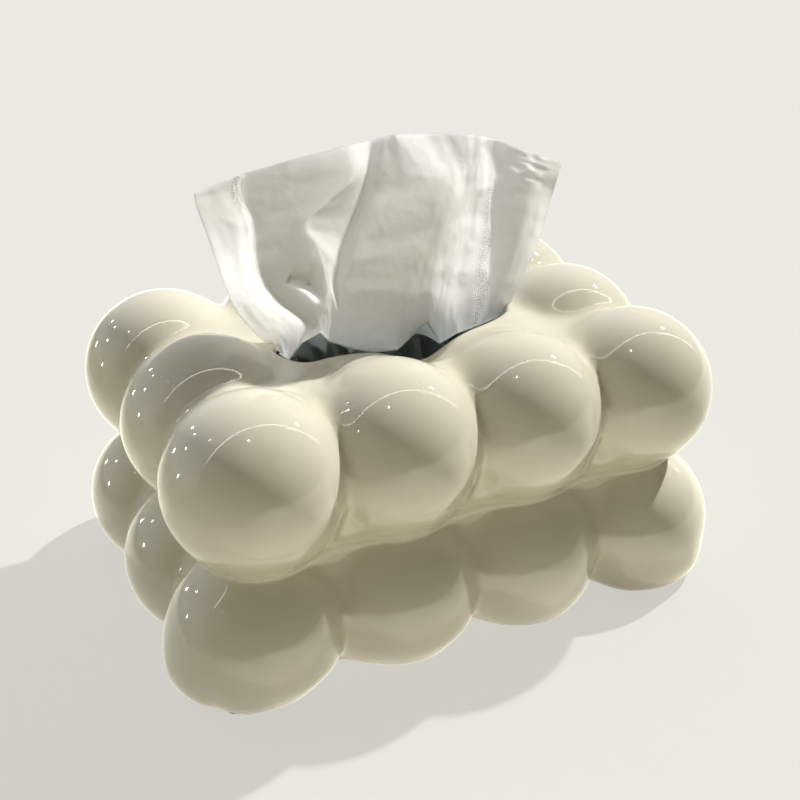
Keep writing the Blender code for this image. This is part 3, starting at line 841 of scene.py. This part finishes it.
def hidden_rows(hem):
    """From the rolled hem back and down through the mouth, in pleats, to the end on the stack."""
    across = np.linspace(-1.0, 1.0, len(hem))
    pleat = -np.cos(np.linspace(0.0, math.pi * (len(FOLD_LINES) - 1), len(hem)))
    rows = []
    for turn in np.radians(HEM_ANGLES):
        back, down = HEM_ROLL * (1 - math.cos(turn)), HEM_ROLL * math.sin(turn)
        rows.append(hem + np.array([0.0, back, -down]))
    x0, y0, z0 = rows[-1].T
    for g in np.linspace(0.0, 1.0, GATHER_ROWS + 1)[1:]:
        x = x0 * (1 - GATHER * g) + across * NECK_HALF[0] * GATHER * g
        back = NECK_BACK * (1 - GATHER_BOW * across**2)
        y = y0 + (back - y0) * g**0.8 + pleat * NECK_PLEAT * GATHER_PLEAT * g
        z = z0 + (NECK_Z - z0) * g**1.7
        rows.append(np.stack([x, y, z], axis=1))
    x0, y0, z0 = rows[-1].T
    for share in np.linspace(0.0, 1.0, NECK_ROWS + 1)[1:]:
        blend = min(1.0, share * 3.0)
        half = NECK_HALF[0] + (NECK_HALF[1] - NECK_HALF[0]) * share
        back = NECK_BACK + (NECK_END_BACK - NECK_BACK) * share
        x = x0 * (1 - blend) + across * half * blend
        y = y0 * (1 - blend) + (pleat * NECK_PLEAT * (1 - 0.25 * share) + back) * blend
        z = z0 + (STACK_TOP_Z + NECK_END_LIFT - z0) * share
        rows.append(np.stack([x, y, z], axis=1))
    for step in range(1, LYING_ROWS + 1):
        row = rows[-1].copy()
        row[:, 1] += LYING_STEP
        row[:, 2] = STACK_TOP_Z + LYING_LIFT + (LYING_PLEAT - LYING_FLATTEN * step) * (1 + pleat)
        rows.append(row)
    return np.array(rows)


def make_tissue():
    points, doubled = sheet_grid()
    rows, columns = points.shape[:2]
    flat = points.reshape(-1, 3)
    mesh = smooth_mesh("tissue_sheet", flat, grid_quads(rows, columns, range(rows - 1), range(columns - 1)))
    across = np.tile(np.linspace(0.0, 1.0, columns), rows)
    # Painted highlight: lighter along the top rows of the sheet
    edge = np.clip(1.0 - np.repeat(np.arange(rows), columns) / 2.0, 0.0, 1.0)
    line, height = across * (len(FOLD_LINES) - 1), flat[:, 2]
    left, right = (np.exp(-(((line - at) / half) ** 2)) for at, half in (EMBOSS_LEFT, EMBOSS_RIGHT))
    left *= np.clip((height - EMBOSS_LEVEL) / EMBOSS_FADE, 0.0, 1.0)
    right *= (height < EMBOSS_LEVEL) & (height > EMBOSS_END)
    mark(mesh, edge=edge, emboss=np.maximum(left, right), doubled=doubled.ravel())
    sheet = show(mesh, paper_material())
    thicken(sheet, TISSUE_THICK)
    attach(sheet, "tissue")
    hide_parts("drawn_tissue")


# ---- Soft pack

PACK = (151.4, 91.4, 41.4)
PACK_EDGE = 4.5
PACK_COUNT = 288  # points round a row of the film
FILM_THICK = 0.12
FILM_BASE_Z, FILM_TOP_DROP, FILM_FOOT = 0.35, 0.2, 2.0
FILM_FOOT_TOP = 4.5
CREASE_DEPTH, TOP_CREASE_DEPTH = 0.55, 0.15
WINDOW = (115.5, 26.0)
TORN_DEPTH = 0.9
STACK = (150.0, 90.0)
STACK_COUNT, LEAVES = 144, 34
STACK_BASE_Z = 0.7
STACK_INSET, STACK_CORNER = 0.5, 3.0
LEAF_SPREAD, LEAF_LIMIT = 0.22, 0.4
# The rounded edge of a leaf: (share of its thickness, how far it is drawn in)
LEAF_EDGE = ((0.03, 0.75), (0.3, 0.3), (0.7, 0.3), (0.97, 0.75))


def rounded_outline(half_x, half_y, corner, count):
    """Closed outline of a rounded rectangle, evenly spaced, from the middle of its right side."""
    side_x, side_y = half_x - corner, half_y - corner
    arc = corner * math.pi / 2
    lengths = [side_y, arc, 2 * side_x, arc, 2 * side_y, arc, 2 * side_x, arc, side_y]
    total = sum(lengths)
    points = []
    for k in range(count):
        run, part = total * k / count, 0
        while run > lengths[part]:
            run -= lengths[part]
            part += 1
        turn = run / corner
        points.append((
            (half_x, run),
            (side_x + corner * math.cos(turn), side_y + corner * math.sin(turn)),
            (side_x - run, half_y),
            (-side_x - corner * math.sin(turn), side_y + corner * math.cos(turn)),
            (-half_x, side_y - run),
            (-side_x - corner * math.cos(turn), -side_y - corner * math.sin(turn)),
            (-side_x + run, -half_y),
            (side_x + corner * math.sin(turn), -side_y - corner * math.cos(turn)),
            (half_x, -side_y + run),
        )[part])
    return np.array(points)


def film_rows():
    """Rows of the film, from under the pack out, up, and in to the torn oval."""
    half_x, half_y, high = PACK[0] / 2, PACK[1] / 2, PACK[2]
    rim = rounded_outline(half_x, half_y, PACK_EDGE + 1.0, PACK_COUNT)

    def level(plan, z):
        return np.column_stack([plan, np.full(PACK_COUNT, z)])

    rows = [level(rim * share, FILM_BASE_Z) for share in (0.35, 0.7, 0.92)]
    for turn in np.radians((0.0, 30.0, 60.0, 90.0)):
        inset = FILM_FOOT * (1 - math.sin(turn))
        ring = rounded_outline(half_x - inset, half_y - inset, PACK_EDGE, PACK_COUNT)
        rows.append(level(ring, FILM_BASE_Z + FILM_FOOT * (1 - math.cos(turn))))
    rows += [level(rim, z) for z in np.linspace(FILM_FOOT_TOP, high - PACK_EDGE, 13)]
    for turn in np.radians((22.5, 45.0, 67.5, 90.0)):
        inset = PACK_EDGE * (1 - math.cos(turn))
        ring = rounded_outline(half_x - inset, half_y - inset, PACK_EDGE, PACK_COUNT)
        rows.append(level(ring, high - PACK_EDGE * (1 - math.sin(turn)) - FILM_TOP_DROP))
    turn = np.arctan2(rim[:, 1] / half_y, rim[:, 0] / half_x)
    torn = soft_noise(np.cos(turn) * 9.0, np.sin(turn) * 9.0, 4.4) * TORN_DEPTH
    half_window = np.array(WINDOW) / 2 + torn[:, None]
    window = np.stack([np.cos(turn), np.sin(turn)], axis=1) * half_window
    start = rows[-1][:, :2]
    for share in np.linspace(0.0, 1.0, 13)[1:]:
        rows.append(level(start + (window - start) * share, high - FILM_TOP_DROP))
    return np.array(rows)


def creased(flat):
    """Presses soft creases into the film's sides and, less deep, into its top."""
    x, y, z = flat.T
    broad = np.abs(soft_noise(x * 0.09 + z * 0.05, y * 0.13 + z * 0.11, 6.0)) * 0.9
    creases = broad + np.abs(soft_noise(x * 0.3, y * 0.3 + z * 0.2, 1.0)) * 0.25
    half = np.array(PACK) / 2
    inward = np.array([0.0, 0.0, half[2]]) - flat
    inward /= np.maximum(np.linalg.norm(inward / half, axis=1), 0.4)[:, None]
    side = (z > 3.0) & (z < PACK[2] - PACK_EDGE - 0.5)
    top = z > PACK[2] - 0.5
    flat[side, :2] += inward[side, :2] / half[:2] * creases[side, None] * CREASE_DEPTH
    flat[top, 2] -= np.clip(creases[top] * TOP_CREASE_DEPTH, 0.0, TOP_CREASE_DEPTH)


def make_film():
    """The pack's film: a soft creased pouch with its top torn open along an oval."""
    rows = film_rows()
    flat = rows.reshape(-1, 3)
    creased(flat)
    quads = grid_quads(len(rows), PACK_COUNT, range(len(rows) - 1), range(PACK_COUNT))
    quads.append(tuple(reversed(range(PACK_COUNT))))  # closes the underside inside the first row
    film = show(smooth_mesh("pack_film_creased", flat, quads), film_material())
    thicken(film, FILM_THICK)
    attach(film, "pack")
    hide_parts("pack_film")


def make_stack():
    """The folded leaves left in the pack: layered, a little uneven at their edges."""
    random = np.random.default_rng(SEED + 1)
    shifts = np.clip(random.normal(0.0, LEAF_SPREAD, (LEAVES, 2)), -LEAF_LIMIT, LEAF_LIMIT)
    pitch = (STACK_TOP_Z - STACK_BASE_Z) / LEAVES
    half_x, half_y = STACK[0] / 2 - STACK_INSET, STACK[1] / 2 - STACK_INSET
    rows = []
    for leaf in range(LEAVES):
        for share, pull in LEAF_EDGE:
            ring = rounded_outline(half_x - pull, half_y - pull, STACK_CORNER, STACK_COUNT)
            z = np.full(STACK_COUNT, STACK_BASE_Z + pitch * (leaf + share))
            rows.append(np.column_stack([ring + shifts[leaf], z]))
    last = len(rows) - 1
    quads = grid_quads(len(rows), STACK_COUNT, range(last), range(STACK_COUNT))
    quads.append(tuple(reversed(range(STACK_COUNT))))
    quads.append(tuple(range(last * STACK_COUNT, (last + 1) * STACK_COUNT)))
    mesh = smooth_mesh("tissue_stack_leaves", np.concatenate(rows), quads)
    mesh.set_sharp_from_angle(angle=math.radians(50))
    stack = show(mesh, leaf_material())
    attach(stack, "pack")
    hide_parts("tissue_stack")


# ---- Stage

FLOOR_SIZE = 12.0
# Where the floor's painted light and shade change, in metres: right of the object, beside its left end, in
# front
FLOOR_RIGHT, FLOOR_BESIDE, FLOOR_NEAR = (0.05, 0.18), (-0.28, -0.07), (-0.24, -0.10)
BOUNCE_Y, BOUNCE_LEFT, BOUNCE_RIGHT = (-0.26, -0.12), (-0.17, -0.05), (0.02, 0.06)


def pale_floor():
    """The ground as the camera sees it; as painted light, what it throws on the object and what the glaze
    shows.
    """
    bpy.ops.mesh.primitive_plane_add(size=FLOOR_SIZE, location=(0.0, 0.0, 0.0))
    floor = bpy.context.object
    floor.name = "floor"
    n = Nodes("floor")
    n.tree.nodes.remove(n.shader)
    axes = n.add("SeparateXYZ")
    n.put(axes.inputs[0], n.where())
    x, y = axes.outputs["X"], axes.outputs["Y"]
    right, beside = n.span(x, *FLOOR_RIGHT), n.span(x, *FLOOR_BESIDE)

    seen = n.blend(0.75, n.matt((0.90, 0.892, 0.858)), n.glow((0.765, 0.746, 0.695), 1.0))

    # Painted light on the object: a glow in front of it, and a darker floor to its right
    bounce = n.math("MULTIPLY", n.span(y, *BOUNCE_Y), n.span(x, *BOUNCE_LEFT))
    bounce = n.math("MULTIPLY", bounce, n.span(x, *BOUNCE_RIGHT, 1.0, 0.0))
    bounce = n.math("MULTIPLY", bounce, 0.20)
    plain = n.matt(n.mix(right, (0.73, 0.707, 0.575), (0.36, 0.349, 0.283)))
    thrown = n.sum_of(plain, n.glow((1.0, 0.97, 0.84), bounce))

    # Painted reflection: a glowing floor for the glaze, dimmer to the right and dark beside the left end
    near = n.math("MULTIPLY", n.span(y, *FLOOR_NEAR, 0.86, 1.2), n.span(right, 0.0, 1.0, 1.0, 0.6))
    near = n.math("MULTIPLY", near, n.math("MULTIPLY_ADD", beside, 0.80, 0.08))
    lit = n.mix(right, (0.80, 0.775, 0.63), (0.56, 0.543, 0.441))
    lit = n.matt(n.mix(beside, (0.26, 0.252, 0.205), lit))
    mirrored = n.sum_of(n.glow((1.0, 0.97, 0.86), near), lit)

    path = n.add("LightPath").outputs
    direct = n.math("MAXIMUM", path["Is Camera Ray"], path["Is Transmission Ray"])
    other = n.blend(path["Is Glossy Ray"], thrown, mirrored)
    n.put(n.output.inputs["Surface"], n.blend(direct, other, seen))
    floor.data.materials.append(n.material)


# The world's light by direction: its rear half, and (place, colour) of the steps from dim to cool
REAR_PLANE = (-0.016, 0.985, -0.171)
WORLD_DIM, WORLD_COOL = (0.12, 0.108, 0.094), (0.62, 0.63, 0.65)
WORLD_STOPS = ((0.49, (0.13, 0.118, 0.102)), (0.52, (0.52, 0.53, 0.55)))
BACKDROP = (0.823, 0.807, 0.761)


def studio_world():
    """A pale backdrop for the camera; a cool, brighter rear half and a dim front half as light."""
    world = bpy.data.worlds.new("studio")
    bpy.context.scene.world = world
    world.use_nodes = True
    nodes, link = world.node_tree.nodes, world.node_tree.links.new
    nodes.clear()

    def add(kind):
        return nodes.new("ShaderNode" + kind)

    place, rearward = add("TexCoord"), add("VectorMath")
    rearward.operation = "DOT_PRODUCT"
    rearward.inputs[1].default_value = REAR_PLANE
    link(place.outputs["Generated"], rearward.inputs[0])
    half = add("MapRange")
    half.inputs["From Min"].default_value, half.inputs["From Max"].default_value = -1.0, 1.0
    link(rearward.outputs["Value"], half.inputs["Value"])
    ramp = add("ValToRGB")
    stops = ramp.color_ramp.elements
    stops[0].position, stops[0].color = 0.0, (*WORLD_DIM, 1.0)
    stops[1].position, stops[1].color = 1.0, (*WORLD_COOL, 1.0)
    for at, colour in WORLD_STOPS:
        stops.new(at).color = (*colour, 1.0)
    link(half.outputs["Result"], ramp.inputs["Fac"])
    light, sky = add("Background"), add("Background")
    link(ramp.outputs["Color"], light.inputs["Color"])
    sky.inputs["Color"].default_value = (*BACKDROP, 1.0)
    path, join, out = add("LightPath"), add("MixShader"), add("OutputWorld")
    link(path.outputs["Is Camera Ray"], join.inputs[0])
    link(light.outputs[0], join.inputs[1])
    link(sky.outputs[0], join.inputs[2])
    link(join.outputs[0], out.inputs["Surface"])


MIDDLE = (0.0, 0.0, 0.06)
STRIP_WIDTH, STRIP_AZIMUTH = 0.03, 89.1
GLINT_REACH = 1.5
# Small lamps that show as dots on the glaze: azimuth, elevation, width, height, watts
GLINTS = {
    "key_glint": (74.0, 40.0, 0.11, 0.11, 0.32),
    "glint_a": (-34.2, 2.5, 0.035, 0.10, 0.42),
    "glint_b": (-48.7, 19.6, 0.03, 0.06, 0.35),
    "glint_c": (-61.5, 2.8, 0.035, 0.10, 0.42),
    "glint_d": (-138.7, 78.0, 0.025, 0.05, 0.4),
    "glint_e": (-27.0, 20.0, 0.035, 0.07, 0.4),
    "glint_f": (-39.0, 28.0, 0.02, 0.04, 0.2),
    "glint_g": (-62.0, 47.0, 0.015, 0.03, 0.15),
    "glint_h": (-102.0, 38.0, 0.0125, 0.025, 0.1),
}


def lamp(kind, name, at, energy, aim=MIDDLE, **settings):
    data = bpy.data.lights.new(name, kind)
    data.energy = energy
    for key, value in settings.items():
        setattr(data, key, value)
    obj = bpy.data.objects.new(name, data)
    obj.location = at
    obj.rotation_mode = "QUATERNION"
    obj.rotation_quaternion = (Vector(aim) - Vector(at)).to_track_quat("-Z", "Y")
    obj.visible_camera = False
    bpy.context.scene.collection.objects.link(obj)
    return obj


def around(azimuth, elevation, reach):
    """The place that lies that way from the object's middle."""
    return Vector(MIDDLE) + bearing(azimuth, elevation) * reach


def studio_lights():
    """The sun gives the light; the strips and the small lamps show only in the glaze."""
    key = lamp("SUN", "key", bearing(73.0, 42.5) * 2, 4.0, aim=(0.0, 0.0, 0.0),
               color=(1.0, 0.985, 0.96), angle=math.radians(1.6))
    key.visible_glossy = False
    strip = lamp("AREA", "overhead_strip", (0.0, 0.18, 1.7), 4.0,
                 shape="RECTANGLE", size=STRIP_WIDTH, size_y=5.0)
    strip.rotation_quaternion = strip_turn()
    side = lamp("AREA", "side_strip", around(85.0, 34.0, 1.7), 0.6,
                shape="RECTANGLE", size=STRIP_WIDTH, size_y=1.3)
    shown_only = [strip, side]
    for name, (azimuth, elevation, wide, high, power) in GLINTS.items():
        at = around(azimuth, elevation, GLINT_REACH)
        shown_only.append(lamp("AREA", name, at, power, shape="ELLIPSE", size=wide, size_y=high))
    for light in shown_only:
        light.visible_diffuse = False


def strip_turn():
    """Facing down, its long side along the azimuth where the strip's reflection runs."""
    along = bearing(STRIP_AZIMUTH, 0.0)
    down = Vector((0.0, 0.0, -1.0))
    side = along.cross(-down)
    return Matrix((side, along, -down)).transposed().to_quaternion()


def make_camera():
    data = bpy.data.cameras.new("camera")
    data.lens, data.sensor_width = LENS, SENSOR
    data.clip_start, data.clip_end = 0.01, 50.0
    camera = bpy.data.objects.new("camera", data)
    right, down, forward = Vector(CAMERA_RIGHT), Vector(CAMERA_DOWN), Vector(CAMERA_FORWARD)
    turn = Matrix((right, -down, -forward)).transposed()
    camera.matrix_world = Matrix.Translation(CAMERA_AT) @ turn.to_4x4()
    bpy.context.scene.collection.objects.link(camera)
    bpy.context.scene.camera = camera


# ---- Assembly

make_camera()
bpy.context.scene.view_settings.view_transform = "Standard"
pale_floor()
studio_world()
studio_lights()

shell = make_shell()
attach(shell, "cover")
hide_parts("bubble_cover")

make_stack()
make_film()
make_tissue()

pads = pad_material()
for name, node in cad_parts.items():
    if name.startswith("anti_slip_pad"):
        node.data.materials.clear()
        node.data.materials.append(pads)
